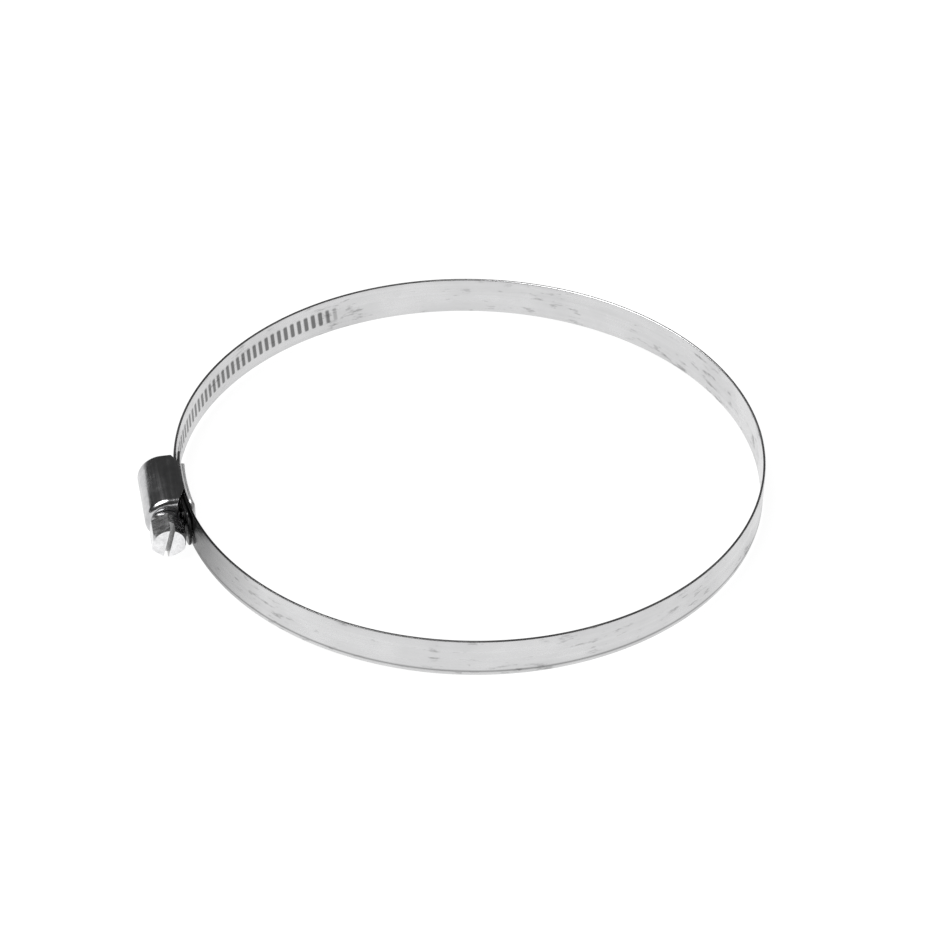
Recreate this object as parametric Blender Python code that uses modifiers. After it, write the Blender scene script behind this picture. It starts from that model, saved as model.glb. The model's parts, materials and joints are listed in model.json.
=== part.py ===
"""A worm-drive hose clamp: a 9 mm pressed-thread steel band, its housing and its worm screw.

The clamp lies flat, with its ring's axis along +Z and its housing at -X. The screw's axis runs
along Y, its head pointing to -Y. The band is one flexible strip, modelled as a fixed end and
24 short lengths, because each length swings on its own upright axis as the screw turns.

Places near the housing are given as (out, along, up), in metres: out from the toothed band's
outer face, away from the ring's centre; along the screw, towards its head; up from mid height.
"""

import math

import bmesh
import bpy
from mathutils import Matrix, Vector

MM = 0.001

# Band
BAND_WIDTH = 9.0 * MM
BAND_THICK = 0.6 * MM
TOOTHED_FACE_R = 64.6 * MM  # outer face of the toothed end, in the housing
LAYER_STEP = 0.9 * MM  # from the fixed end's middle to the toothed end's middle, over one turn
ARC_STEP = math.radians(2.5)  # longest facet of a band length
GAP = 0.3 * MM  # between neighbouring lengths

# Pressed thread
PITCH = 2.0 * MM
PITCH_R = TOOTHED_FACE_R - 0.2 * MM
TOOTH_ANGLE = PITCH / PITCH_R
GROOVE_WIDTH = 1.0 * MM
GROOVE_LENGTH = 4.2 * MM
GROOVE_DEPTH = 0.32 * MM
HELIX_SLANT = math.radians(6.0)

# Lengths of band, by their angle from the housing's middle, counted the way the band runs
TAIL_ANGLE = math.radians(11.2)  # free end, past the housing's middle
TOOTHED_LENGTHS = 6
TEETH_PER_LENGTH = 8
SMOOTH_LENGTHS = 18
FIRST_TOOTH = 1  # the first toothed length is plain before this tooth
FIXED_START = -10.9 * MM / TOOTHED_FACE_R
FIXED_END = TAIL_ANGLE

# How far the screw tightens the ring from rest, which fixes each length's axis
TURNS_TIGHTER = 16

# Screw
SCREW_OUT = 3.25 * MM
THREAD_R = 3.35 * MM
ROOT_R = 2.5 * MM
THREAD_TURNS = 5
THREAD_STEPS = 30  # facets of one turn of the thread
REAR_GROOVE = 8  # the groove, counted from the band's free end, where the thread starts
CORE_END = 6.9 * MM
TIP_END = -9.0 * MM
SINK = 0.3 * MM  # how far joined shapes reach into each other
CREST_WIDTH = 0.45 * MM
FLANK_WIDTH = 0.3 * MM
NECK_R = 2.1 * MM
TIP_R = 1.5 * MM
COLLAR_R = 3.4 * MM
COLLAR_FROM = 8.8 * MM
COLLAR_TO = 10.6 * MM
HEAD_TO = 15.7 * MM
HEAD_ACROSS_FLATS = 7.0 * MM
SLOT_WIDTH = 1.1 * MM
SLOT_DEPTH = 2.4 * MM
HEAD_CHAMFER = 0.45 * MM
HEAD_TURN = math.radians(-6.0)
SLOT_TURN = math.radians(-14.0)

# Housing
SHEET = 0.7 * MM
ARCH_R = 5.4 * MM
ARCH_OUT = 2.1 * MM
HOUSING_HALF_LENGTH = 8.5 * MM
WALL_FOOT_OUT = -1.45 * MM
WALL_FOOT_HALF_LENGTH = 4.4 * MM
CHANNEL_TOP_OUT = 0.4 * MM
RUNNING = 0.2 * MM

# Saddle
SADDLE_OUT = -1.75 * MM
SADDLE_FROM = -5.6 * MM
SADDLE_TO = 9.5 * MM

MID_Z = ARCH_R
MERGE = 1e-6


def band_r(angle):
    """Radius of the band's mid surface, which grows by one layer over a turn."""
    return TOOTHED_FACE_R - BAND_THICK / 2 + LAYER_STEP * (angle / math.tau - 1)


RING_X = (TOOTHED_FACE_R + ARCH_OUT + ARCH_R - band_r(math.pi) - BAND_THICK / 2) / 2
RING_Y = (band_r(math.pi / 2) - band_r(3 * math.pi / 2)) / 2
RING_CENTRE = Vector((RING_X, RING_Y, MID_Z))


def at(out, along, up):
    """World place of a point given from the housing."""
    return RING_CENTRE + Vector((-TOOTHED_FACE_R - out, -along, up))


def on_ring(angle, radius, up=0.0):
    """World place of a point on the ring; the angle is counted from the housing."""
    turned = math.pi + angle
    return RING_CENTRE + Vector((radius * math.cos(turned), radius * math.sin(turned), up))


def clear_scene():
    for old in list(bpy.data.objects):
        bpy.data.objects.remove(old, do_unlink=True)


def collection(name):
    made = bpy.data.collections.new(name)
    bpy.context.scene.collection.children.link(made)
    return made


def steel(name, colour, roughness):
    made = bpy.data.materials.new(name)
    made.use_nodes = True
    shader = made.node_tree.nodes["Principled BSDF"]
    shader.inputs["Base Color"].default_value = (*colour, 1.0)
    shader.inputs["Metallic"].default_value = 1.0
    shader.inputs["Roughness"].default_value = roughness
    return made


def add(name, bm, group, material=None):
    """A mesh object made from a bmesh."""
    mesh = bpy.data.meshes.new(name)
    bmesh.ops.recalc_face_normals(bm, faces=bm.faces)
    bm.to_mesh(mesh)
    bm.free()
    made = bpy.data.objects.new(name, mesh)
    group.objects.link(made)
    if material:
        mesh.materials.append(material)
    return made


def as_helper(obj):
    obj.hide_render = True
    obj.display_type = "WIRE"
    return obj


def combine(obj, helper, operation):
    """Joins a helper to an object, or cuts it away."""
    boolean = obj.modifiers.new(operation.lower(), "BOOLEAN")
    boolean.operation = operation
    boolean.solver = "EXACT"
    boolean.object = as_helper(helper)


def box(low, high):
    """A box between two corners given from the housing."""
    bm = bmesh.new()
    bmesh.ops.create_cube(bm, size=1.0)
    a, b = at(*low), at(*high)
    size = Matrix.Diagonal([abs(b[i] - a[i]) for i in range(3)] + [1.0])
    bmesh.ops.transform(bm, matrix=Matrix.Translation((a + b) / 2) @ size, verts=bm.verts)
    return bm


def rod(bm, radius, start, end, segments=48, end_radius=None, turn=0.0):
    """Adds a cylinder or cone along the screw's axis, from one place along to another."""
    facing = Matrix.Rotation(math.pi / 2, 4, "X") @ Matrix.Rotation(turn, 4, "Z")
    middle = at(SCREW_OUT, (start + end) / 2, 0.0)
    bmesh.ops.create_cone(
        bm,
        cap_ends=True,
        segments=segments,
        radius1=radius,
        radius2=radius if end_radius is None else end_radius,
        depth=end - start,
        matrix=Matrix.Translation(middle) @ facing,
    )
    return bm


def strip(angle_from, angle_to, radius_at, half_width):
    """An upright sheet along the ring, one facet for each small step of angle."""
    steps = math.ceil((angle_to - angle_from) / ARC_STEP)
    bm = bmesh.new()
    low = bm.verts.new(on_ring(angle_from, radius_at(angle_from), -half_width))
    high = bm.verts.new(on_ring(angle_from, radius_at(angle_from), half_width))
    edge = bm.edges.new((low, high))
    for step in range(1, steps + 1):
        angle = angle_from + (angle_to - angle_from) * step / steps
        out = bmesh.ops.extrude_edge_only(bm, edges=[edge])["geom"]
        edge = next(item for item in out if isinstance(item, bmesh.types.BMEdge))
        for vert in edge.verts:
            vert.co = on_ring(angle, radius_at(angle), vert.co.z - MID_Z)
    return bm


def thicken(obj, thickness):
    solid = obj.modifiers.new("thickness", "SOLIDIFY")
    solid.thickness = thickness
    solid.offset = 0.0
    solid.use_even_offset = True
    return obj


def length_edges():
    """The angles where one length of band meets the next."""
    toothed = TOOTHED_LENGTHS * TEETH_PER_LENGTH * TOOTH_ANGLE
    toothed_from = math.tau + TAIL_ANGLE - toothed
    smooth = (toothed_from - FIXED_END) / SMOOTH_LENGTHS
    edges = [FIXED_END + smooth * i for i in range(SMOOTH_LENGTHS)]
    edges += [toothed_from + TEETH_PER_LENGTH * TOOTH_ANGLE * i for i in range(TOOTHED_LENGTHS + 1)]
    return edges


def swing_axis(angle):
    """Where the upright axis of a length stands, on the ground.

    The length is carried from its place on the open ring to its place on the tightened one,
    which touches the first at the housing. One turn about one axis does that exactly.
    """
    tight_r = PITCH_R - TURNS_TIGHTER * PITCH / math.tau
    turn = angle * (PITCH_R / tight_r - 1)
    before = on_ring(angle, PITCH_R)
    after = on_ring(angle + turn, tight_r) + Vector((tight_r - PITCH_R, 0.0, 0.0))
    half = (after - before) / 2
    lever = 1 / math.tan(turn / 2)
    axis = before + half + Vector((-half.y, half.x, 0.0)) * lever
    return Vector((axis.x, axis.y, 0.0))


def groove_cutters(edge_angle, first, group, name):
    """The slanted grooves of one toothed length, as one helper."""
    bm = bmesh.new()
    for tooth in range(first, TEETH_PER_LENGTH):
        angle = edge_angle + (tooth + 0.5) * TOOTH_ANGLE
        radius = band_r(angle) + BAND_THICK / 2 - GROOVE_DEPTH / 2 + BAND_THICK
        facing = Matrix.Rotation(math.pi + angle, 4, "Z") @ Matrix.Rotation(-HELIX_SLANT, 4, "X")
        size = Matrix.Diagonal((GROOVE_DEPTH + 2 * BAND_THICK, GROOVE_WIDTH, GROOVE_LENGTH, 1))
        place = Matrix.Translation(on_ring(angle, radius))
        bmesh.ops.create_cube(bm, size=1.0, matrix=place @ facing @ size)
    return add(name, bm, group)


def make_band(parts, helpers, material):
    """The fixed end, then each length with its origin on its own axis."""
    trim = GAP / 2 / PITCH_R
    fixed = strip(FIXED_START, FIXED_END - trim, band_r, BAND_WIDTH / 2)
    thicken(add("band_fixed_end", fixed, parts, material), BAND_THICK)
    edges = length_edges()
    for number, (start, end) in enumerate(zip(edges, edges[1:]), 1):
        sheet = strip(start + trim, end - trim, band_r, BAND_WIDTH / 2)
        obj = thicken(add(f"band_{number:02d}", sheet, parts, material), BAND_THICK)
        if number > SMOOTH_LENGTHS:
            first = FIRST_TOOTH if number == SMOOTH_LENGTHS + 1 else 0
            grooves = groove_cutters(start, first, helpers, f"grooves_{number:02d}")
            combine(obj, grooves, "DIFFERENCE")
        axis = swing_axis((start + end) / 2)
        obj.data.transform(Matrix.Translation(-axis))
        obj.location = axis
        for modifier in obj.modifiers:
            if modifier.type == "BOOLEAN":
                modifier.object.data.transform(Matrix.Translation(-axis))
                modifier.object.location = axis


def arch(centre_out, radius, foot_out, start, end):
    """A solid tunnel shape: a half round on straight sides, run along the screw."""
    bm = bmesh.new()
    outline = [(foot_out, -radius)]
    for step in range(25):
        angle = math.pi * step / 24 - math.pi / 2
        outline.append((centre_out + radius * math.cos(angle), radius * math.sin(angle)))
    outline.append((foot_out, radius))
    face = bm.faces.new([bm.verts.new(at(out, start, up)) for out, up in outline])
    moved = bmesh.ops.extrude_face_region(bm, geom=[face], use_keep_orig=True)["geom"]
    verts = [item for item in moved if isinstance(item, bmesh.types.BMVert)]
    bmesh.ops.translate(bm, verts=verts, vec=(0.0, start - end, 0.0))
    return bm


def end_trim(side):
    """A wedge that slopes one end of the side walls, from beside the band in to the foot."""
    bm = bmesh.new()
    beyond = HOUSING_HALF_LENGTH + SHEET
    top = Vector((CHANNEL_TOP_OUT, HOUSING_HALF_LENGTH + RUNNING))
    foot = Vector((WALL_FOOT_OUT, WALL_FOOT_HALF_LENGTH))
    below = foot + (foot - top).normalized() * SHEET
    outline = [top, below, (below.x, beyond), (CHANNEL_TOP_OUT, beyond)]
    face = bm.faces.new([bm.verts.new(at(out, side * along, -2 * ARCH_R)) for out, along in outline])
    moved = bmesh.ops.extrude_face_region(bm, geom=[face], use_keep_orig=True)["geom"]
    verts = [item for item in moved if isinstance(item, bmesh.types.BMVert)]
    bmesh.ops.translate(bm, verts=verts, vec=(0.0, 0.0, 4 * ARCH_R))
    return bm


def make_housing(parts, helpers, material):
    half = HOUSING_HALF_LENGTH
    shell = add("housing_shell", arch(ARCH_OUT, ARCH_R, WALL_FOOT_OUT, -half, half), parts, material)
    inside = arch(ARCH_OUT, ARCH_R - SHEET, WALL_FOOT_OUT - SHEET, SHEET - half, half - SHEET)
    combine(shell, add("worm_bay", inside, helpers), "DIFFERENCE")
    wide = ARCH_R - SHEET
    channel = box((WALL_FOOT_OUT - SHEET, -2 * half, -wide), (CHANNEL_TOP_OUT, 2 * half, wide))
    combine(shell, add("band_channel", channel, helpers), "DIFFERENCE")
    neck_hole = rod(bmesh.new(), NECK_R + RUNNING, 0.0, 2 * half)
    combine(shell, add("neck_hole", neck_hole, helpers), "DIFFERENCE")
    tip_hole = rod(bmesh.new(), TIP_R + RUNNING, -2 * half, 0.0)
    combine(shell, add("tip_hole", tip_hole, helpers), "DIFFERENCE")
    for side in (-1, 1):
        combine(shell, add(f"end_trim_{side + 1}", end_trim(side), helpers), "DIFFERENCE")


def make_saddle(parts, material):
    radius = TOOTHED_FACE_R + SADDLE_OUT - SHEET / 2
    sheet = strip(SADDLE_FROM / radius, SADDLE_TO / radius, lambda angle: radius, ARCH_R - SHEET / 4)
    thicken(add("saddle_plate", sheet, parts, material), SHEET)


def first_groove():
    """Where along the screw the rearmost groove that the worm holds lies."""
    angle = TAIL_ANGLE - (REAR_GROOVE + 0.5) * TOOTH_ANGLE
    return PITCH_R * math.sin(angle)


def thread_ridge():
    """The worm's ridge: a tapered profile swept along a right-hand helix.

    It starts where it faces the ring, in the middle of a groove.
    """
    half_root = CREST_WIDTH / 2 + FLANK_WIDTH
    profile = [
        (ROOT_R - SINK, -half_root),
        (THREAD_R, -CREST_WIDTH / 2),
        (THREAD_R, CREST_WIDTH / 2),
        (ROOT_R - SINK, half_root),
    ]
    bm = bmesh.new()
    start = first_groove()
    face = bm.faces.new([bm.verts.new((radius, 0.0, start + along)) for radius, along in profile])
    steps = THREAD_TURNS * THREAD_STEPS
    bmesh.ops.spin(
        bm,
        geom=list(face.verts) + list(face.edges) + [face],
        cent=(0.0, 0.0, 0.0),
        axis=(0.0, 0.0, 1.0),
        dvec=(0.0, 0.0, PITCH / THREAD_STEPS),
        angle=math.tau * THREAD_TURNS,
        steps=steps,
    )
    bmesh.ops.remove_doubles(bm, verts=bm.verts, dist=MERGE)
    open_edges = [edge for edge in bm.edges if edge.is_boundary]
    if open_edges:
        bmesh.ops.holes_fill(bm, edges=open_edges, sides=4)
    return bm


def screw_shaft():
    """The turned outline of the screw, from the collar down to its tip."""
    bm = bmesh.new()
    outline = [
        (0.0, COLLAR_TO),
        (COLLAR_R, COLLAR_TO),
        (COLLAR_R, COLLAR_FROM),
        (NECK_R, COLLAR_FROM),
        (NECK_R, CORE_END),
        (ROOT_R, CORE_END),
        (ROOT_R, -CORE_END),
        (TIP_R, -CORE_END),
        (TIP_R, TIP_END),
        (0.0, TIP_END),
    ]
    verts = [bm.verts.new((radius, 0.0, along)) for radius, along in outline]
    for pair in zip(verts, verts[1:]):
        bm.edges.new(pair)
    return bm


def screw_head():
    """A hexagon with a chamfered end, reaching down into the collar."""
    bm = bmesh.new()
    length = HEAD_TO - COLLAR_TO + SINK
    corner_r = HEAD_ACROSS_FLATS / 2 / math.cos(math.pi / 6)
    place = Matrix.Translation((0.0, 0.0, HEAD_TO - length / 2)) @ Matrix.Rotation(HEAD_TURN, 4, "Z")
    bmesh.ops.create_cone(
        bm, cap_ends=True, segments=6, radius1=corner_r, radius2=corner_r, depth=length, matrix=place
    )
    end = [edge for edge in bm.edges if all(vert.co.z > HEAD_TO - MERGE for vert in edge.verts)]
    bmesh.ops.bevel(bm, geom=end, offset=HEAD_CHAMFER, segments=1, profile=0.5, affect="EDGES")
    return bm


def screw_slot():
    bm = bmesh.new()
    size = Matrix.Diagonal((SLOT_WIDTH, 2 * HEAD_ACROSS_FLATS, 2 * SLOT_DEPTH, 1))
    place = Matrix.Translation((0.0, 0.0, HEAD_TO)) @ Matrix.Rotation(SLOT_TURN, 4, "Z")
    bmesh.ops.create_cube(bm, size=1.0, matrix=place @ size)
    return bm


def make_screw(parts, helpers, material):
    """One screw, with its origin on its own axis and its local +Z towards its head."""
    screw = add("worm_screw", screw_shaft(), parts, material)
    turned = screw.modifiers.new("turned", "SCREW")
    turned.steps = turned.render_steps = 36
    turned.use_merge_vertices = True
    turned.merge_threshold = MERGE
    helpers_of = [
        (add("thread_ridge", thread_ridge(), helpers), "UNION"),
        (add("hexagon", screw_head(), helpers), "UNION"),
        (add("screw_slot", screw_slot(), helpers), "DIFFERENCE"),
    ]
    for helper, operation in helpers_of:
        combine(screw, helper, operation)
    for obj in [screw] + [helper for helper, _ in helpers_of]:
        obj.location = at(SCREW_OUT, 0.0, 0.0)
        obj.rotation_euler = (math.pi / 2, 0.0, 0.0)


def main():
    clear_scene()
    parts = collection("hose clamp")
    helpers = collection("cutters")
    bright = steel("bright band steel", (0.78, 0.78, 0.79), 0.3)
    formed = steel("formed housing steel", (0.62, 0.62, 0.63), 0.28)
    plated = steel("plated screw steel", (0.7, 0.7, 0.7), 0.35)
    make_housing(parts, helpers, formed)
    make_saddle(parts, formed)
    make_screw(parts, helpers, plated)
    make_band(parts, helpers, bright)


main()
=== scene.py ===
"""The finished look of a worm-drive hose clamp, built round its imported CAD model.

The band is one strip of steel that bends, so it is made as one piece for each rigid length of
the model. The pieces meet edge to edge, and the thread pressed in the band and its finish run
on from each to the next.

Places on the ring are angles counted from the housing, the way the band runs. Places near the
housing are (out, along, up): out from the toothed band's outer face, along the screw towards
its head, and up from mid height.
"""

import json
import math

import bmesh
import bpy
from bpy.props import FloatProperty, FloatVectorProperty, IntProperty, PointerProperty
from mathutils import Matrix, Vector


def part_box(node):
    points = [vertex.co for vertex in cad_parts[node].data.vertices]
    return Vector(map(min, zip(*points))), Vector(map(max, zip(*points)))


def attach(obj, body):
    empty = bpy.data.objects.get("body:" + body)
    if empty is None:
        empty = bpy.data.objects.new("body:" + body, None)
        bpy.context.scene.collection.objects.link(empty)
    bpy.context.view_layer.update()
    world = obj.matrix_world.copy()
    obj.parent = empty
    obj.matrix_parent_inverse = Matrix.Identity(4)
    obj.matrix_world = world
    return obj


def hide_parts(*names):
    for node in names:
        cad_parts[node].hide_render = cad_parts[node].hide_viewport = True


bl_info = {
    "name": "Worm-drive hose clamp",
    "version": (1, 0, 0),
    "blender": (4, 5, 0),
    "location": "3D View > Sidebar > Hose clamp",
    "description": "Builds the band, housing, saddle and screw of a hose clamp, and its stage",
    "category": "Add Mesh",
}

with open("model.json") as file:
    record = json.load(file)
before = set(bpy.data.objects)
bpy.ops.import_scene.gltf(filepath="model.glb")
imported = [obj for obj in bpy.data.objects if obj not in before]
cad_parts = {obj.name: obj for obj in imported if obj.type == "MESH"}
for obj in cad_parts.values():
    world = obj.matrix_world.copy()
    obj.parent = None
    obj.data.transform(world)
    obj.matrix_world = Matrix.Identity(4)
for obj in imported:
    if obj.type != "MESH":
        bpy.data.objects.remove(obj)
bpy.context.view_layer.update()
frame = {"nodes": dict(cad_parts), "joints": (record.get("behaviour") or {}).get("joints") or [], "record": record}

MM = 0.001
MERGE = 1e-7
UPRIGHT = (0.0, 0.0, 1.0)
SMOOTH_ANGLE = math.radians(35.0)  # flatter edges are shaded smooth
EDGE_ANGLE = math.radians(40.0)  # sharper edges are rounded


# Places read from the frame


def opening_middle():
    low, high = frame["record"]["physics"]["openings"][0]["box_m"]
    return (low[0] + high[0]) / 2, (low[1] + high[1]) / 2


SCREW = Vector(next(j["pos_m"] for j in frame["joints"] if j["name"] == "screw_turn"))
RING = Vector((*opening_middle(), SCREW.z))
FIXED_END = "band_fixed_end"
LENGTHS = sorted(node for node in frame["nodes"] if node.startswith("band_") and node != FIXED_END)


def ring_angle(place):
    """A place's angle round the ring, counted from the housing."""
    away = place - RING
    return (math.atan2(away.y, away.x) - math.pi) % math.tau


def ring_radius(place):
    away = place - RING
    return math.hypot(away.x, away.y)


def on_ring(angle, radius, up):
    turned = math.pi + angle
    return RING + Vector((radius * math.cos(turned), radius * math.sin(turned), up))


def span(node):
    """The angles where a CAD length of band starts and ends."""
    places = [vert.co for vert in frame["nodes"][node].data.vertices]
    middle = ring_angle(sum(places, Vector()) / len(places))
    if node == LENGTHS[-1]:
        middle += math.tau
    offsets = [(ring_angle(place) - middle + math.pi) % math.tau - math.pi for place in places]
    return middle + min(offsets), middle + max(offsets)


def middle_radius(node):
    radii = [ring_radius(vert.co) for vert in frame["nodes"][node].data.vertices]
    return (min(radii) + max(radii)) / 2


SPANS = [span(node) for node in LENGTHS]
FIXED_SPAN = span(FIXED_END)
SEAMS = [(one[1] + two[0]) / 2 for one, two in zip([FIXED_SPAN, *SPANS], SPANS)] + [SPANS[-1][1]]
FIRST_MIDDLE = sum(SPANS[0]) / 2
FIRST_R = middle_radius(LENGTHS[0])
GROWTH = (middle_radius(LENGTHS[-1]) - FIRST_R) / (sum(SPANS[-1]) / 2 - FIRST_MIDDLE)
BAND_LOW, BAND_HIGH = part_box(LENGTHS[0])
BAND_WIDTH = BAND_HIGH.z - BAND_LOW.z


def band_r(angle):
    """Radius of the band's middle, which grows by one layer over a turn."""
    return FIRST_R + GROWTH * (angle - FIRST_MIDDLE)


# Sizes and colours


class BandSettings(bpy.types.PropertyGroup):
    thick: FloatProperty(
        name="Thickness", description="Thickness of the strip", default=0.6 * MM, unit="LENGTH"
    )
    edge: FloatProperty(
        name="Edge", description="Radius of the strip's long edges", default=0.24 * MM, unit="LENGTH"
    )
    corner: FloatProperty(
        name="Corner",
        description="Radius of the corners at the free ends",
        default=1.3 * MM,
        unit="LENGTH",
    )
    teeth: IntProperty(
        name="Teeth", description="Pressed teeth on one length of the band", default=8, min=1
    )
    plain_teeth: IntProperty(
        name="Plain teeth", description="Teeth left out of the first toothed length", default=1, min=0
    )
    toothed_lengths: IntProperty(
        name="Toothed lengths", description="Lengths of band that carry the thread", default=6, min=1
    )
    tooth_length: FloatProperty(
        name="Tooth length", description="Height of a tooth", default=4.4 * MM, unit="LENGTH"
    )
    tooth_width: FloatProperty(
        name="Tooth width", description="Width of a tooth at its foot", default=1.55 * MM, unit="LENGTH"
    )
    tooth_depth: FloatProperty(
        name="Tooth depth",
        description="How far a tooth is pressed in",
        default=0.26 * MM,
        unit="LENGTH",
    )
    slant: FloatProperty(
        name="Slant", description="Lean of the teeth", default=math.radians(6.0), unit="ROTATION"
    )
    colour: FloatVectorProperty(
        name="Colour",
        description="Colour of the band's steel",
        default=(0.68, 0.68, 0.685),
        subtype="COLOR",
    )


class HousingSettings(bpy.types.PropertyGroup):
    sheet: FloatProperty(
        name="Sheet", description="Thickness of the pressed sheet", default=0.7 * MM, unit="LENGTH"
    )
    lip: FloatProperty(
        name="Lip", description="Outer radius of the rounded rims", default=1.25 * MM, unit="LENGTH"
    )
    edge: FloatProperty(
        name="Edge", description="Radius of the cut edges", default=0.1 * MM, unit="LENGTH"
    )
    wall_foot: FloatProperty(
        name="Wall foot",
        description="Half length of the side walls at their feet",
        default=4.4 * MM,
        unit="LENGTH",
    )
    channel: FloatProperty(
        name="Channel", description="Room over the toothed band", default=0.4 * MM, unit="LENGTH"
    )
    saddle_corner: FloatProperty(
        name="Saddle corner",
        description="Radius of the saddle's corners",
        default=1.8 * MM,
        unit="LENGTH",
    )
    colour: FloatVectorProperty(
        name="Colour",
        description="Colour of the housing's steel",
        default=(0.6, 0.6, 0.61),
        subtype="COLOR",
    )
    saddle_colour: FloatVectorProperty(
        name="Saddle colour",
        description="Colour of the saddle's duller steel",
        default=(0.95, 0.95, 0.95),
        subtype="COLOR",
    )


class ScrewSettings(bpy.types.PropertyGroup):
    thread_r: FloatProperty(
        name="Thread", description="Outer radius of the thread", default=3.35 * MM, unit="LENGTH"
    )
    root_r: FloatProperty(
        name="Root", description="Radius at the foot of the thread", default=2.5 * MM, unit="LENGTH"
    )
    neck_r: FloatProperty(
        name="Neck", description="Radius of the neck under the collar", default=2.1 * MM, unit="LENGTH"
    )
    collar_r: FloatProperty(
        name="Collar", description="Radius of the collar", default=3.4 * MM, unit="LENGTH"
    )
    across_flats: FloatProperty(
        name="Across flats", description="Width of the hexagon", default=7.0 * MM, unit="LENGTH"
    )
    slot_width: FloatProperty(
        name="Slot width", description="Width of the slot", default=1.1 * MM, unit="LENGTH"
    )
    slot_depth: FloatProperty(
        name="Slot depth", description="Depth of the slot", default=2.4 * MM, unit="LENGTH"
    )
    head_turn: FloatProperty(
        name="Head turn",
        description="How far the hexagon stands turned",
        default=math.radians(-6.0),
        unit="ROTATION",
    )
    slot_turn: FloatProperty(
        name="Slot turn",
        description="How far the slot stands turned",
        default=math.radians(-14.0),
        unit="ROTATION",
    )
    colour: FloatVectorProperty(
        name="Colour",
        description="Colour of the plated screw",
        default=(0.88, 0.88, 0.89),
        subtype="COLOR",
    )
    # painted shade: the slot's walls and floor are coloured darker than the rest of the screw
    slot_shade_colour: FloatVectorProperty(
        name="Slot colour",
        description="Colour of the steel that the slot is cut in",
        default=(0.52, 0.52, 0.52),
        subtype="COLOR",
    )


class StageSettings(bpy.types.PropertyGroup):
    lens: FloatProperty(
        name="Lens", description="Focal length of the camera, in millimetres", default=110.9
    )
    distance: FloatProperty(
        name="Distance",
        description="From the camera to the ring's middle",
        default=638.6 * MM,
        unit="LENGTH",
    )
    turn: FloatProperty(
        name="Turn",
        description="How far the camera stands round the ring",
        default=math.radians(-12.0),
        unit="ROTATION",
    )
    elevation: FloatProperty(
        name="Elevation",
        description="How far the camera looks down",
        default=math.radians(38.4),
        unit="ROTATION",
    )
    roll: FloatProperty(
        name="Roll", description="Lean of the camera", default=math.radians(1.06), unit="ROTATION"
    )
    aside: FloatProperty(
        name="Aside",
        description="Camera's place to the right of the ring's middle",
        default=0.75 * MM,
        unit="LENGTH",
    )
    above: FloatProperty(
        name="Above",
        description="Camera's place above the ring's middle",
        default=-2.45 * MM,
        unit="LENGTH",
    )
    key: FloatProperty(name="Key light", description="Strength of the soft light overhead", default=3.2)
    room: FloatProperty(
        name="Room", description="Brightness that the steel reflects from the room", default=0.05
    )
    floor: FloatVectorProperty(
        name="Floor", description="Colour of the floor", default=(0.12, 0.12, 0.12), subtype="COLOR"
    )
    glow: FloatProperty(name="Glow", description="Light that the floor gives off", default=0.96)


class ClampSettings(bpy.types.PropertyGroup):
    band: PointerProperty(type=BandSettings, name="Band", description="The band's settings")
    housing: PointerProperty(type=HousingSettings, name="Housing", description="The housing's settings")
    screw: PointerProperty(type=ScrewSettings, name="Screw", description="The screw's settings")
    stage: PointerProperty(type=StageSettings, name="Stage", description="The stage's settings")


# Finishes


def new_steel(name, colour, roughness):
    """A bare steel material and the coordinates that its patterns read."""
    material = bpy.data.materials.new(name)
    material.use_nodes = True
    shader = material.node_tree.nodes["Principled BSDF"]
    shader.inputs["Base Color"].default_value = (*colour, 1.0)
    shader.inputs["Metallic"].default_value = 1.0
    shader.inputs["Roughness"].default_value = roughness
    return material, material.node_tree, shader


NOISE = (0.3, 0.7)  # where most of a pattern's values lie
CLOUDS = (0.35, 0.7)  # the same for the band's cloudy marks


def pattern(tree, stretch, detail=3.0, roughness=0.55):
    """Noise on the object's coordinates, with the given number of grains to a metre along X, Y and Z."""
    coords = tree.nodes.new("ShaderNodeTexCoord")
    mapping = tree.nodes.new("ShaderNodeMapping")
    mapping.inputs["Scale"].default_value = stretch
    noise = tree.nodes.new("ShaderNodeTexNoise")
    noise.inputs["Scale"].default_value = 1.0
    noise.inputs["Detail"].default_value = detail
    noise.inputs["Roughness"].default_value = roughness
    tree.links.new(coords.outputs["Object"], mapping.inputs["Vector"])
    tree.links.new(mapping.outputs["Vector"], noise.inputs["Vector"])
    return noise.outputs["Fac"]


def ranged(tree, value, source, target):
    """A value carried from one range to another, and held at its ends."""
    node = tree.nodes.new("ShaderNodeMapRange")
    node.clamp = True
    tree.links.new(value, node.inputs["Value"])
    node.inputs["From Min"].default_value, node.inputs["From Max"].default_value = source
    node.inputs["To Min"].default_value, node.inputs["To Max"].default_value = target
    return node.outputs["Result"]


def combined(tree, operation, one, two):
    node = tree.nodes.new("ShaderNodeMath")
    node.operation = operation
    for socket, value in zip(node.inputs, (one, two)):
        if isinstance(value, float):
            socket.default_value = value
        else:
            tree.links.new(value, socket)
    return node.outputs["Value"]


def tinted(tree, shader, colour, shade, *more_shades):
    """Multiplies the steel's colour by its patterns."""
    for other in more_shades:
        shade = combined(tree, "MULTIPLY", shade, other)
    mix = tree.nodes.new("ShaderNodeMix")
    mix.data_type = "RGBA"
    mix.blend_type = "MULTIPLY"
    mix.inputs["Factor"].default_value = 1.0
    mix.inputs["A"].default_value = (*colour, 1.0)
    tree.links.new(shade, mix.inputs["B"])
    tree.links.new(mix.outputs["Result"], shader.inputs["Base Color"])


def bumped(tree, shader, height, distance):
    bump = tree.nodes.new("ShaderNodeBump")
    bump.inputs["Distance"].default_value = distance
    bump.inputs["Strength"].default_value = 1.0
    tree.links.new(height, bump.inputs["Height"])
    tree.links.new(bump.outputs["Normal"], shader.inputs["Normal"])


def attribute(tree, name):
    node = tree.nodes.new("ShaderNodeAttribute")
    node.attribute_name = name
    return node.outputs["Fac"]


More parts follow.
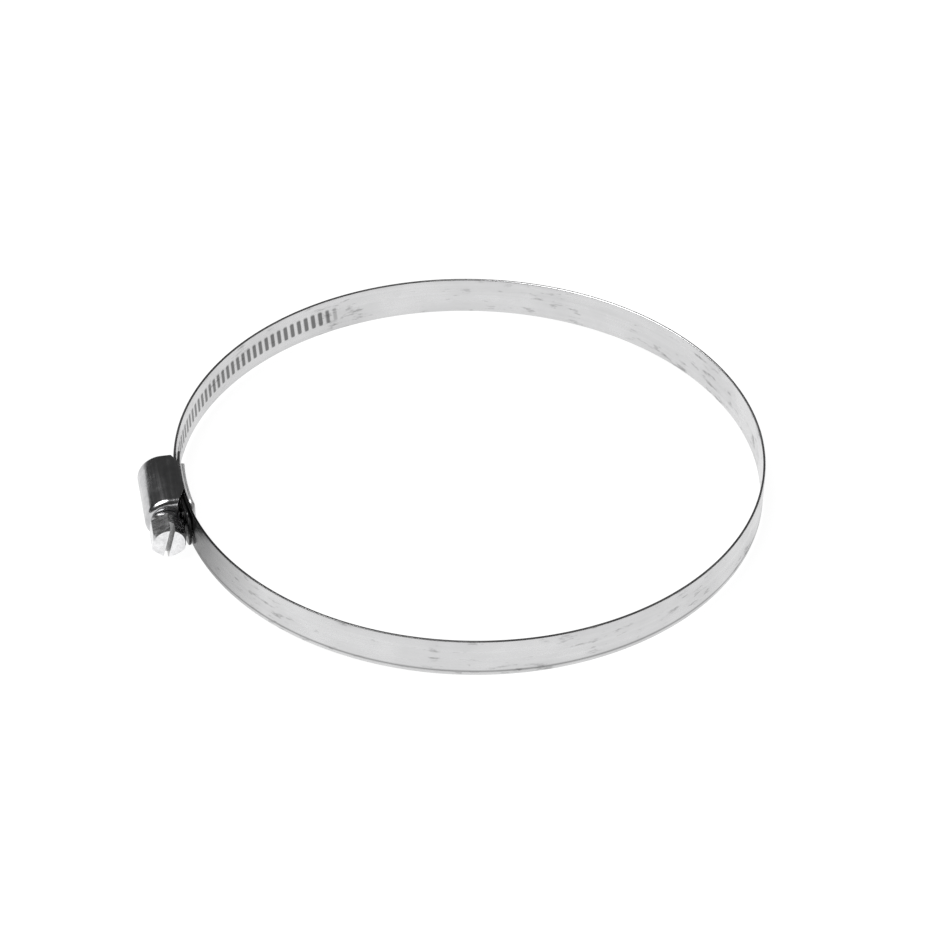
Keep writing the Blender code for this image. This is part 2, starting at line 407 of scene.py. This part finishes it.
def distance_from(tree, place):
    coords = tree.nodes.new("ShaderNodeTexCoord")
    node = tree.nodes.new("ShaderNodeVectorMath")
    node.operation = "DISTANCE"
    node.inputs[1].default_value = place
    tree.links.new(coords.outputs["Object"], node.inputs[0])
    return node.outputs["Value"]


HOUSING_SHADE_MIDDLE = on_ring(math.radians(10.0), FIRST_R, 0.0)  # the middle of the painted shade beside the housing, which stands in for the housing's shadow and dark reflection on the band
HOUSING_SHADE_RANGE = (4.0 * MM, 30.0 * MM)  # how far from there it starts to fade, and ends


def rolled_band_steel(colour):
    """Bright rolled strip: fine lines along it, cloudy marks and a few scuffs, with painted shade beside the
    housing and in the pressed teeth, and a darker painted line.
    """
    material, tree, shader = new_steel("rolled band steel", colour, 0.3)
    lines = pattern(tree, (35.0, 35.0, 4200.0), 2.0)
    broad_lines = pattern(tree, (14.0, 14.0, 900.0), 2.0)
    clouds = pattern(tree, (75.0, 75.0, 110.0), 4.0)
    scuffs = pattern(tree, (210.0, 210.0, 900.0), 5.0, 0.65)
    scuffs = combined(tree, "ADD", scuffs, ranged(tree, clouds, (0.35, 0.65), (0.1, -0.06)))
    scuffed = ranged(tree, scuffs, (0.62, 0.74), (0.0, 1.0))
    tinted(
        tree,
        shader,
        colour,
        ranged(tree, clouds, CLOUDS, (0.9, 1.0)),
        ranged(tree, scuffed, (0.0, 1.0), (1.0, 0.62)),
        ranged(tree, broad_lines, NOISE, (0.93, 1.0)),
        # painted shade: the pressed teeth and the painted line along the outer face darken the colour
        ranged(tree, attribute(tree, "dull"), (0.05, 0.7), (1.0, 0.27)),
        # painted shade: the colour darkens towards the housing, where the housing's shadow and dark reflection
        # fall on the band
        ranged(tree, distance_from(tree, HOUSING_SHADE_MIDDLE), HOUSING_SHADE_RANGE, (0.1, 1.0)),
    )
    fine = ranged(tree, lines, NOISE, (-0.04, 0.04))
    rough = combined(tree, "ADD", ranged(tree, clouds, CLOUDS, (0.34, 0.24)), fine)
    rough = combined(tree, "ADD", rough, ranged(tree, scuffed, (0.0, 1.0), (0.0, 0.15)))
    tree.links.new(rough, shader.inputs["Roughness"])
    bumped(tree, shader, combined(tree, "ADD", lines, broad_lines), 0.012 * MM)
    return material


def pressed_housing_steel(name, colour, roughness):
    """Pressed sheet: faintly mottled, with drag lines from the die along its length."""
    material, tree, shader = new_steel(name, colour, roughness)
    mottle = pattern(tree, (900.0, 900.0, 900.0), 4.0)
    drag = pattern(tree, (1600.0, 60.0, 1600.0), 3.0)
    clouds = pattern(tree, (260.0, 260.0, 260.0), 3.0)
    mottled = ranged(tree, mottle, NOISE, (0.86, 1.0))
    tinted(tree, shader, colour, mottled, ranged(tree, clouds, NOISE, (0.9, 1.0)))
    rough = ranged(tree, clouds, NOISE, (roughness + 0.05, roughness - 0.05))
    rough = combined(tree, "ADD", rough, ranged(tree, drag, NOISE, (-0.04, 0.05)))
    tree.links.new(rough, shader.inputs["Roughness"])
    bumped(tree, shader, combined(tree, "ADD", mottle, drag), 0.015 * MM)
    return material


def plated_screw_steel(name, colour):
    """Zinc plate over a forged and slotted blank: uneven gloss, small pits and tool marks."""
    material, tree, shader = new_steel(name, colour, 0.28)
    pits = pattern(tree, (1300.0, 1300.0, 1300.0), 5.0, 0.6)
    waves = pattern(tree, (500.0, 900.0, 500.0), 3.0)
    pitted = ranged(tree, pits, (0.3, 0.6), (0.78, 1.0))
    tinted(tree, shader, colour, pitted, ranged(tree, waves, NOISE, (0.88, 1.0)))
    tree.links.new(ranged(tree, waves, NOISE, (0.36, 0.2)), shader.inputs["Roughness"])
    bumped(tree, shader, combined(tree, "ADD", pits, waves), 0.03 * MM)
    return material


def matt_floor(colour, glow):
    """A dark floor that glows white, so that the shadows on it are nearly washed out."""
    material, _, shader = new_steel("matt floor", colour, 0.9)
    shader.inputs["Metallic"].default_value = 0.0
    shader.inputs["Specular IOR Level"].default_value = 0.2
    shader.inputs["Emission Color"].default_value = (1.0, 1.0, 1.0, 1.0)
    shader.inputs["Emission Strength"].default_value = glow
    return material


# Making pieces


def add_piece(name, bm, material):
    """An object at the origin made from a bmesh, shaded smooth away from its sharp edges."""
    bmesh.ops.recalc_face_normals(bm, faces=bm.faces)
    mesh = bpy.data.meshes.new(name)
    bm.to_mesh(mesh)
    bm.free()
    piece = bpy.data.objects.new(name, mesh)
    bpy.context.scene.collection.objects.link(piece)
    if material:
        mesh.materials.append(material)
    smooth(mesh)
    return piece


def smooth(mesh):
    mesh.shade_smooth()
    mesh.set_sharp_from_angle(angle=SMOOTH_ANGLE)


def belongs(piece, body, slot, *nodes):
    """Sets what a piece moves with, and hides the CAD nodes that it stands for. Its finish is not used."""
    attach(piece, body)
    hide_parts(*nodes)


def close_holes(bm):
    open_edges = [edge for edge in bm.edges if edge.is_boundary]
    if open_edges:
        bmesh.ops.holes_fill(bm, edges=open_edges)


CORNER_STEPS = 3


def strip_section(thick, width, rounding, rows):
    """Outline of a strip's cross-section as (across, up), with rounded long edges."""
    half, high = thick / 2 - rounding, width / 2 - rounding
    outline = []
    for side, start in ((1, 0.0), (-1, math.pi)):
        outline += [(side * thick / 2, side * high * (2 * row / rows - 1)) for row in range(rows)]
        for corner in range(2):
            across = side * half if corner == 0 else -side * half
            for step in range(CORNER_STEPS):
                angle = start + (corner + step / CORNER_STEPS) * math.pi / 2
                up = side * high + rounding * math.sin(angle)
                outline.append((across + rounding * math.cos(angle), up))
    return outline


def ring_strip(name, material, start, end, steps, section, radius_at, shape):
    """A strip spun round part of the ring, then set out to its own radius and shaped.

    The shape is a function of (angle, across, up) that gives a point's new across and up, and
    how much darker its colour is painted there, from 0 to 1.
    how dull the press left the steel there, from 0 to 1.
    """
    bm = bmesh.new()
    corners = [on_ring(start, radius_at(start) + across, up) for across, up in section]
    face = bm.faces.new([bm.verts.new(corner) for corner in corners])
    bmesh.ops.spin(
        bm,
        geom=[*face.verts, *face.edges, face],
        cent=RING,
        axis=UPRIGHT,
        angle=end - start,
        steps=steps,
    )
    bmesh.ops.remove_doubles(bm, verts=bm.verts, dist=MERGE)
    close_holes(bm)
    margin = (math.tau - (end - start)) / 2
    dull = bm.verts.layers.float.new("dull")
    for vert in bm.verts:
        angle = start + (ring_angle(vert.co) - start + margin) % math.tau - margin
        across = ring_radius(vert.co) - radius_at(start)
        up = vert.co.z - RING.z
        across, up, vert[dull] = shape(angle, across, up)
        vert.co = on_ring(angle, radius_at(angle) + across, up)
    return add_piece(name, bm, material)


def rounded_end(distance, corner, half_width):
    """Half the width of a strip near a free end whose corners are rounded."""
    if distance >= corner:
        return half_width
    reach = corner - max(distance, 0.0)
    return half_width - corner + math.sqrt(max(corner * corner - reach * reach, 0.0))


def eased(value):
    """0 below 0 and 1 above 1, with a soft rise between."""
    value = min(max(value, 0.0), 1.0)
    return value * value * (3 - 2 * value)


# The band


TOOTH_FADE = 2  # teeth over which the thread runs out
FLANK_SHARE = 0.36  # share of a tooth's width that its flank rises over
LOWER_END = 0.35 * MM  # the lower end of each tooth, which the painted shade leaves out, so that it stays bright
INNER_PRESS = 0.6  # share of the thread's depth that shows on the inner face
DARK_LINE = 0.6  # how much darker a line is painted along the outer face, near the lower edge
DARK_LINE_DOWN = 3.4 * MM  # from mid height
DARK_LINE_FADE = 0.4 * MM  # to either side of its middle


def tooth_angle(band):
    return (SEAMS[-1] - SEAMS[-2]) / band.teeth


def first_toothed(band):
    return len(LENGTHS) - band.toothed_lengths


def tooth_press(band, angle, up):
    """How far the thread is pressed in at a place on the band, and how much shade is painted there."""
    step = tooth_angle(band)
    start = SEAMS[first_toothed(band)] + band.plain_teeth * step
    pitch = step * band_r(angle)
    place = (angle - start) / step - up * math.tan(band.slant) / pitch
    number = math.floor(place)
    if number < 0:
        return 0.0, 0.0
    aside = abs(place - number - 0.5) * pitch
    flank = band.tooth_width * FLANK_SHARE
    whole = min((number + 1) / (TOOTH_FADE + 1), 1.0)
    rise = eased((band.tooth_width / 2 - aside) / flank) * eased((band.tooth_length / 2 - abs(up)) / flank)
    # painted shade over the tooth, standing in for its faces reflecting the dark room, with its lower end left
    # bright
    dull = eased((band.tooth_length / 2 + up) / LOWER_END - 1.0)
    return band.tooth_depth * rise * whole, rise * whole * dull


def band_shape(band, free_start=None, free_end=None, toothed=False):
    """A function that presses the thread in a piece of band, rounds its ends, and paints shade in the teeth and a
    darker line on the outer face.
    """

    def shape(angle, across, up):
        half = BAND_WIDTH / 2
        for free_angle, way in ((free_start, 1), (free_end, -1)):
            if free_angle is not None:
                distance = way * (angle - free_angle) * band_r(angle)
                up *= rounded_end(distance, band.corner, half) / half
        press, dull = tooth_press(band, angle, up) if toothed else (0.0, 0.0)
        # a darker line painted along the outer face, below mid height
        if across > 0:
            dull = max(dull, DARK_LINE * (1.0 - abs(up + DARK_LINE_DOWN) / DARK_LINE_FADE))
        else:
            press *= INNER_PRESS
        return across - press, up, dull

    return shape


SMOOTH_STEP = 0.4 * MM
ROUNDED_STEP = 0.2 * MM  # where an end is rounded
STEPS_PER_TOOTH = 16
SMOOTH_ROWS = 30
TOOTHED_ROWS = 26


def steps_over(start, end, radius, step):
    return math.ceil((end - start) * radius / step)


class HOSE_CLAMP_OT_band(bpy.types.Operator):
    """Builds the band, one piece for each length of it that moves"""

    bl_idname = "hose_clamp.band"
    bl_label = "Band"

    def execute(self, context):
        band = context.scene.hose_clamp.band
        steel = rolled_band_steel(band.colour)
        smooth_section = strip_section(band.thick, BAND_WIDTH, band.edge, SMOOTH_ROWS)
        toothed_section = strip_section(band.thick, BAND_WIDTH, band.edge, TOOTHED_ROWS)
        start, end = FIXED_SPAN[0], SEAMS[0]
        steps = steps_over(start, end, band_r(start), ROUNDED_STEP)
        shape = band_shape(band, free_start=start)
        piece = ring_strip("strap_fixed_end", steel, start, end, steps, smooth_section, band_r, shape)
        belongs(piece, "housing", "band_steel", FIXED_END)
        for index, node in enumerate(LENGTHS):
            start, end = SEAMS[index], SEAMS[index + 1]
            toothed = index >= first_toothed(band)
            free_end = end if index == len(LENGTHS) - 1 else None
            if toothed:
                section, steps = toothed_section, band.teeth * STEPS_PER_TOOTH
            else:
                section, steps = smooth_section, steps_over(start, end, band_r(start), SMOOTH_STEP)
            shape = band_shape(band, free_end=free_end, toothed=toothed)
            piece = ring_strip(f"strap_{index + 1:02d}", steel, start, end, steps, section, band_r, shape)
            belongs(piece, node, "band_steel", node)
        return {"FINISHED"}


# The housing and its saddle


HOUSING_LOW, HOUSING_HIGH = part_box("housing_shell")
SADDLE_LOW, SADDLE_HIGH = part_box("saddle_plate")
HALF_THICK = 0.3 * MM
FACE_R = band_r(math.tau) + HALF_THICK
ARCH_R = (HOUSING_HIGH.z - HOUSING_LOW.z) / 2
ARCH_OUT = RING.x - FACE_R - HOUSING_LOW.x - ARCH_R
FOOT_OUT = RING.x - FACE_R - HOUSING_HIGH.x
HALF_LENGTH = (HOUSING_HIGH.y - HOUSING_LOW.y) / 2
ARCH_STEPS = 48
HOLE_STEPS = 48
HOUSING_ROUGHNESS = 0.22
PLAY = 0.2 * MM  # round the screw where it runs in the housing
TIP_STEP = 0.6 * MM  # how much thinner than the neck the screw's tip is
PAST_END = 0.2 * MM  # how far past the housing's end a side wall's slope would reach


def at(out, along, up):
    return RING + Vector((-FACE_R - out, -along, up))


def carve(piece, helper, operation):
    """Cuts a piece with a helper, or joins them, and removes the helper."""
    boolean = piece.modifiers.new(operation.lower(), "BOOLEAN")
    boolean.operation = operation
    boolean.material_mode = "TRANSFER"
    boolean.object = helper
    carved = bpy.data.meshes.new_from_object(piece.evaluated_get(bpy.context.evaluated_depsgraph_get()))
    piece.modifiers.clear()
    carved.name = piece.name
    piece.data = carved
    bpy.data.objects.remove(helper)


def soften(piece, width):
    """Rounds the sharp edges of a finished piece."""
    bevel = piece.modifiers.new("edges", "BEVEL")
    bevel.width = width
    bevel.segments = 2
    bevel.limit_method = "ANGLE"
    bevel.angle_limit = EDGE_ANGLE
    bevel.harden_normals = True


def extruded(outline, move, rim=0.0):
    """A solid made from a flat outline, drawn out, with its end rims rounded if asked."""
    bm = bmesh.new()
    face = bm.faces.new([bm.verts.new(place) for place in outline])
    extruded_parts = bmesh.ops.extrude_face_region(bm, geom=[face], use_keep_orig=True)["geom"]
    moved = [item for item in extruded_parts if isinstance(item, bmesh.types.BMVert)]
    bmesh.ops.translate(bm, verts=moved, vec=move)
    if rim:
        caps = sorted(bm.faces, key=lambda item: len(item.verts))[-2:]
        edges = [edge for cap in caps for edge in cap.edges]
        bmesh.ops.bevel(bm, geom=edges, offset=rim, segments=6, profile=0.5, affect="EDGES", material=-1)
    return bm


def arch_outline(radius, foot, along):
    outline = [at(foot, along, -radius)]
    for step in range(ARCH_STEPS + 1):
        angle = math.pi * step / ARCH_STEPS - math.pi / 2
        outline.append(at(ARCH_OUT + radius * math.cos(angle), along, radius * math.sin(angle)))
    outline.append(at(foot, along, radius))
    return outline


def arch_solid(radius, foot, half, rim=0.0):
    return extruded(arch_outline(radius, foot, -half), Vector((0.0, -2 * half, 0.0)), rim)


def box_solid(low, high):
    bm = bmesh.new()
    one, two = at(*low), at(*high)
    size = Matrix.Diagonal([abs(value) for value in two - one] + [1.0])
    bmesh.ops.create_cube(bm, size=1.0, matrix=Matrix.Translation((one + two) / 2) @ size)
    return bm


def round_hole(radius, start, end):
    bm = bmesh.new()
    middle = at(RING.x - FACE_R - SCREW.x, (start + end) / 2, 0.0)
    place = Matrix.Translation(middle) @ Matrix.Rotation(math.pi / 2, 4, "X")
    bmesh.ops.create_cone(
        bm,
        cap_ends=True,
        segments=HOLE_STEPS,
        radius1=radius,
        radius2=radius,
        depth=abs(end - start),
        matrix=place,
    )
    return bm


def wall_trim(housing, side):
    """The wedge that slopes one end of the side walls in from beside the band to the foot."""
    beyond = HALF_LENGTH + 2 * housing.sheet
    top = Vector((housing.channel, HALF_LENGTH + PAST_END))
    foot = Vector((FOOT_OUT, housing.wall_foot))
    below = foot + (foot - top).normalized() * housing.sheet
    corners = [top, below, (below.x, beyond), (housing.channel, beyond)]
    outline = [at(out, side * along, -2 * ARCH_R) for out, along in corners]
    return extruded(outline, Vector((0.0, 0.0, 4 * ARCH_R)))


class HOSE_CLAMP_OT_housing(bpy.types.Operator):
    """Builds the pressed housing that holds the screw over the band"""

    bl_idname = "hose_clamp.housing"
    bl_label = "Housing"

    def execute(self, context):
        housing, screw = context.scene.hose_clamp.housing, context.scene.hose_clamp.screw
        steel = pressed_housing_steel("pressed housing steel", housing.colour, HOUSING_ROUGHNESS)
        outside = arch_solid(ARCH_R, FOOT_OUT, HALF_LENGTH, housing.lip)
        piece = add_piece("pressed_housing", outside, steel)
        past = 2 * HALF_LENGTH
        inside_r = ARCH_R - housing.sheet
        below = FOOT_OUT - housing.sheet
        cutters = [
            arch_solid(inside_r, below, HALF_LENGTH - housing.sheet),
            box_solid((below, -past, -inside_r), (housing.channel, past, inside_r)),
            round_hole(screw.neck_r + PLAY, 0.0, past),
            round_hole(screw.neck_r - TIP_STEP + PLAY, -past, 0.0),
            wall_trim(housing, -1),
            wall_trim(housing, 1),
        ]
        for cutter in cutters:
            carve(piece, add_piece("cutter", cutter, steel), "DIFFERENCE")
        smooth(piece.data)
        soften(piece, housing.edge)
        belongs(piece, "housing", "housing_steel", "housing_shell")
        return {"FINISHED"}


SADDLE_ROWS = 60
SADDLE_EDGE = 0.3 * MM
SADDLE_ROUGHNESS = 0.56
SADDLE_STEP = SMOOTH_STEP / 3
RIM_RISE = 0.3 * MM  # how far the saddle's side rims rise to meet the housing's walls


class HOSE_CLAMP_OT_saddle(bpy.types.Operator):
    """Builds the curved saddle plate inside the ring, under the band"""

    bl_idname = "hose_clamp.saddle"
    bl_label = "Saddle"

    def execute(self, context):
        housing = context.scene.hose_clamp.housing
        steel = pressed_housing_steel("dull saddle steel", housing.saddle_colour, SADDLE_ROUGHNESS)
        places = [vert.co for vert in frame["nodes"]["saddle_plate"].data.vertices]
        angles = [(ring_angle(place) + math.pi) % math.tau - math.pi for place in places]
        radii = [ring_radius(place) for place in places]
        start, end, width = min(angles), max(angles), SADDLE_HIGH.z - SADDLE_LOW.z
        radius = (min(radii) + max(radii)) / 2
        section = strip_section(housing.sheet, width, SADDLE_EDGE, SADDLE_ROWS)

        def shape(angle, across, up):
            for distance in (angle - start, end - angle):
                up *= rounded_end(distance * radius, housing.saddle_corner, width / 2) / (width / 2)
            return across + RIM_RISE * eased((abs(up) - BAND_WIDTH / 2) / RIM_RISE), up, 0.0

        steps = steps_over(start, end, radius, SADDLE_STEP)
        piece = ring_strip("saddle", steel, start, end, steps, section, lambda angle: radius, shape)
        belongs(piece, "housing", "housing_steel", "saddle_plate")
        return {"FINISHED"}


# The screw


SCREW_LOW, SCREW_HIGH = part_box("worm_screw")
HEAD_END = SCREW.y - SCREW_LOW.y
TIP_END = SCREW.y - SCREW_HIGH.y
COLLAR_FROM = 8.8 * MM
COLLAR_TO = 10.6 * MM
CORE_END = 6.9 * MM
REAR_GROOVE = 8  # counted from the band's free end
THREAD_TURNS = 5
THREAD_STEPS = 48
PITCH = 2.0 * MM
HALF_CREST = 0.22 * MM
HALF_FOOT = 0.55 * MM
JOIN = 0.3 * MM  # how far a joined shape runs into the one it stands on
SHAFT_ROUND = 0.3 * MM
SIDE_ROUND = 0.18 * MM  # radius between the hexagon's sides
FLAT_INSET = 0.15 * MM  # how far the end's round flat stays inside the sides
CORNER_DROP = 0.6 * MM  # how far the chamfer comes down at the corners
SCREW_EDGE = 0.08 * MM
TURNED_STEPS = 96


def turned_solid(outline):
    """A solid spun from an outline of (radius, along) whose ends are on the axis."""
    bm = bmesh.new()
    verts = [bm.verts.new((radius, 0.0, along)) for radius, along in outline]
    edges = [bm.edges.new(pair) for pair in zip(verts, verts[1:])]
    bmesh.ops.spin(
        bm,
        geom=verts + edges,
        cent=(0, 0, 0),
        axis=UPRIGHT,
        angle=math.tau,
        steps=TURNED_STEPS,
        use_merge=True,
    )
    bmesh.ops.remove_doubles(bm, verts=bm.verts, dist=MERGE)
    return bm


def quarter(radius, along, size, start, steps=4):
    """Points of a quarter round whose centre is (radius, along)."""
    angles = [start + math.pi / 2 * step / steps for step in range(steps + 1)]
    return [(radius + size * math.cos(angle), along + size * math.sin(angle)) for angle in angles]


def shaft_outline(screw):
    """The tip, core, neck and collar as (radius, along)."""
    soft = SHAFT_ROUND
    tip_r = screw.neck_r - TIP_STEP
    return [
        (0.0, TIP_END),
        *quarter(tip_r - soft, TIP_END + soft, soft, -math.pi / 2),
        (tip_r, -CORE_END),
        (screw.root_r - soft, -CORE_END),
        (screw.root_r, -CORE_END + soft),
        (screw.root_r, CORE_END - soft),
        (screw.neck_r, CORE_END),
        (screw.neck_r, COLLAR_FROM),
        *quarter(screw.collar_r - soft, COLLAR_FROM + soft, soft, -math.pi / 2),
        *quarter(screw.collar_r - soft, COLLAR_TO - soft, soft, 0.0),
        (0.0, COLLAR_TO),
    ]


def rear_groove(band):
    """Where along the screw the rearmost groove that the thread holds lies."""
    angle = SEAMS[-1] - math.tau - (REAR_GROOVE + 0.5) * tooth_angle(band)
    return FACE_R * math.sin(angle)


def thread_solid(screw, start):
    """The thread: a tapered ridge swept along a right-hand helix."""
    foot, crest = screw.root_r - JOIN, screw.thread_r
    profile = [(foot, -HALF_FOOT), (crest, -HALF_CREST), (crest, HALF_CREST), (foot, HALF_FOOT)]
    bm = bmesh.new()
    face = bm.faces.new([bm.verts.new((radius, 0.0, start + along)) for radius, along in profile])
    bmesh.ops.spin(
        bm,
        geom=[*face.verts, *face.edges, face],
        cent=(0, 0, 0),
        axis=UPRIGHT,
        dvec=(0.0, 0.0, PITCH / THREAD_STEPS),
        angle=math.tau * THREAD_TURNS,
        steps=THREAD_TURNS * THREAD_STEPS,
    )
    bmesh.ops.remove_doubles(bm, verts=bm.verts, dist=MERGE)
    close_holes(bm)
    return bm


def hexagon_corner_r(screw):
    return screw.across_flats / 2 / math.cos(math.pi / 6)


def head_solid(screw):
    """The hexagon, which starts inside the collar."""
    length = HEAD_END - COLLAR_TO + JOIN
    corner_r = hexagon_corner_r(screw)
    bm = bmesh.new()
    middle = Matrix.Translation((0.0, 0.0, HEAD_END - length / 2))
    place = middle @ Matrix.Rotation(screw.head_turn, 4, "Z")
    bmesh.ops.create_cone(
        bm, cap_ends=True, segments=6, radius1=corner_r, radius2=corner_r, depth=length, matrix=place
    )
    sides = [edge for edge in bm.edges if abs(edge.verts[0].co.z - edge.verts[1].co.z) > length / 2]
    bmesh.ops.bevel(
        bm, geom=sides, offset=SIDE_ROUND, segments=3, profile=0.5, affect="EDGES", material=-1
    )
    return bm


def head_dome(screw):
    """The turned envelope that chamfers the hexagon's end."""
    corner_r = hexagon_corner_r(screw)
    flat_r = screw.across_flats / 2 - FLAT_INSET
    wide = 2 * corner_r
    low = HEAD_END - CORNER_DROP * (wide - flat_r) / (corner_r - flat_r)
    return turned_solid([(0.0, 0.0), (wide, 0.0), (wide, low), (flat_r, HEAD_END), (0.0, HEAD_END)])


def slot_solid(screw):
    bm = bmesh.new()
    size = Matrix.Diagonal((screw.slot_width, 2 * screw.across_flats, 2 * screw.slot_depth, 1.0))
    place = Matrix.Translation((0.0, 0.0, HEAD_END)) @ Matrix.Rotation(screw.slot_turn, 4, "Z")
    bmesh.ops.create_cube(bm, size=1.0, matrix=place @ size)
    return bm


class HOSE_CLAMP_OT_screw(bpy.types.Operator):
    """Builds the worm screw, with its slotted hexagon head"""

    bl_idname = "hose_clamp.screw"
    bl_label = "Screw"

    def execute(self, context):
        band, screw = context.scene.hose_clamp.band, context.scene.hose_clamp.screw
        steel = plated_screw_steel("plated screw steel", screw.colour)
        # the slot's walls and floor take this darker steel, as painted shade in the recess
        slot_shade_steel = plated_screw_steel("slot shade steel", screw.slot_shade_colour)
        piece = add_piece("screw", head_solid(screw), steel)
        carve(piece, add_piece("dome", head_dome(screw), steel), "INTERSECT")
        carve(piece, add_piece("slot", slot_solid(screw), slot_shade_steel), "DIFFERENCE")
        carve(piece, add_piece("shaft", turned_solid(shaft_outline(screw)), steel), "UNION")
        carve(piece, add_piece("thread", thread_solid(screw, rear_groove(band)), steel), "UNION")
        piece.data.transform(Matrix.Translation(SCREW) @ Matrix.Rotation(math.pi / 2, 4, "X"))
        smooth(piece.data)
        soften(piece, SCREW_EDGE)
        belongs(piece, "worm_screw", "screw_steel", "worm_screw")
        return {"FINISHED"}


# The stage


FLOOR_HALF = 4.0
CAMERA_REACH = 20.0
SUN_FROM = (-0.5, 0.0, 0.87)
SUN_SPREAD = math.radians(52.0)


def soft_sun(name, direction, strength, angle):
    """A broad soft light that shines from a direction, and lights the whole floor alike."""
    light = bpy.data.lights.new(name, "SUN")
    light.energy = strength
    light.angle = angle
    sun = bpy.data.objects.new(name, light)
    bpy.context.scene.collection.objects.link(sun)
    sun.rotation_euler = Vector(direction).to_track_quat("Z", "Y").to_euler()


def dim_room(stage):
    """A dim room for the steel to reflect, with a white backdrop for the camera alone."""
    world = bpy.data.worlds.new("dim room")
    bpy.context.scene.world = world
    world.use_nodes = True
    tree = world.node_tree
    path = tree.nodes.new("ShaderNodeLightPath")
    room = tree.nodes["Background"]
    room.inputs["Color"].default_value = (stage.room, stage.room, stage.room, 1.0)
    backdrop = tree.nodes.new("ShaderNodeBackground")
    backdrop.inputs["Color"].default_value = (1.0, 1.0, 1.0, 1.0)
    mix = tree.nodes.new("ShaderNodeMixShader")
    tree.links.new(path.outputs["Is Camera Ray"], mix.inputs["Fac"])
    tree.links.new(room.outputs["Background"], mix.inputs[1])
    tree.links.new(backdrop.outputs["Background"], mix.inputs[2])
    tree.links.new(mix.outputs["Shader"], tree.nodes["World Output"].inputs["Surface"])


def add_camera(stage):
    data = bpy.data.cameras.new("camera")
    data.lens = stage.lens
    data.clip_end = CAMERA_REACH
    camera = bpy.data.objects.new("camera", data)
    bpy.context.scene.collection.objects.link(camera)
    turned = Matrix.Rotation(stage.turn, 4, "Z")
    tilted = Matrix.Rotation(math.pi / 2 - stage.elevation, 4, "X")
    facing = turned @ tilted @ Matrix.Rotation(stage.roll, 4, "Z")
    place = facing @ Vector((stage.aside, stage.above, stage.distance))
    camera.matrix_world = Matrix.Translation(RING + place) @ facing
    bpy.context.scene.camera = camera


class HOSE_CLAMP_OT_stage(bpy.types.Operator):
    """Builds the floor, the lights, the room and the camera"""

    bl_idname = "hose_clamp.stage"
    bl_label = "Stage"

    def execute(self, context):
        stage = context.scene.hose_clamp.stage
        bm = bmesh.new()
        bmesh.ops.create_grid(bm, x_segments=1, y_segments=1, size=FLOOR_HALF)
        floor = add_piece("floor", bm, matt_floor(stage.floor, stage.glow))
        soft_sun("overhead", SUN_FROM, stage.key, SUN_SPREAD)
        dim_room(stage)
        add_camera(stage)
        context.scene.view_settings.view_transform = "Standard"
        return {"FINISHED"}


class HOSE_CLAMP_PT_panel(bpy.types.Panel):
    """Lists the steps that build the clamp"""

    bl_label = "Hose clamp"
    bl_idname = "HOSE_CLAMP_PT_panel"
    bl_space_type = "VIEW_3D"
    bl_region_type = "UI"
    bl_category = "Hose clamp"

    def draw(self, context):
        for operator in OPERATORS:
            self.layout.operator(operator.bl_idname)
        for name in ("band", "housing", "screw", "stage"):
            group = getattr(context.scene.hose_clamp, name)
            column = self.layout.column()
            for setting in group.bl_rna.properties:
                if not setting.is_readonly and setting.identifier != "name":
                    column.prop(group, setting.identifier)


OPERATORS = (
    HOSE_CLAMP_OT_band,
    HOSE_CLAMP_OT_housing,
    HOSE_CLAMP_OT_saddle,
    HOSE_CLAMP_OT_screw,
    HOSE_CLAMP_OT_stage,
)
CLASSES = (
    BandSettings,
    HousingSettings,
    ScrewSettings,
    StageSettings,
    ClampSettings,
    *OPERATORS,
    HOSE_CLAMP_PT_panel,
)


def register():
    for item in CLASSES:
        bpy.utils.register_class(item)
    bpy.types.Scene.hose_clamp = PointerProperty(type=ClampSettings)


def unregister():
    del bpy.types.Scene.hose_clamp
    for item in reversed(CLASSES):
        bpy.utils.unregister_class(item)


def main():
    register()
    bpy.ops.hose_clamp.band()
    bpy.ops.hose_clamp.housing()
    bpy.ops.hose_clamp.saddle()
    bpy.ops.hose_clamp.screw()
    bpy.ops.hose_clamp.stage()


if __name__ == "__main__":
    main()
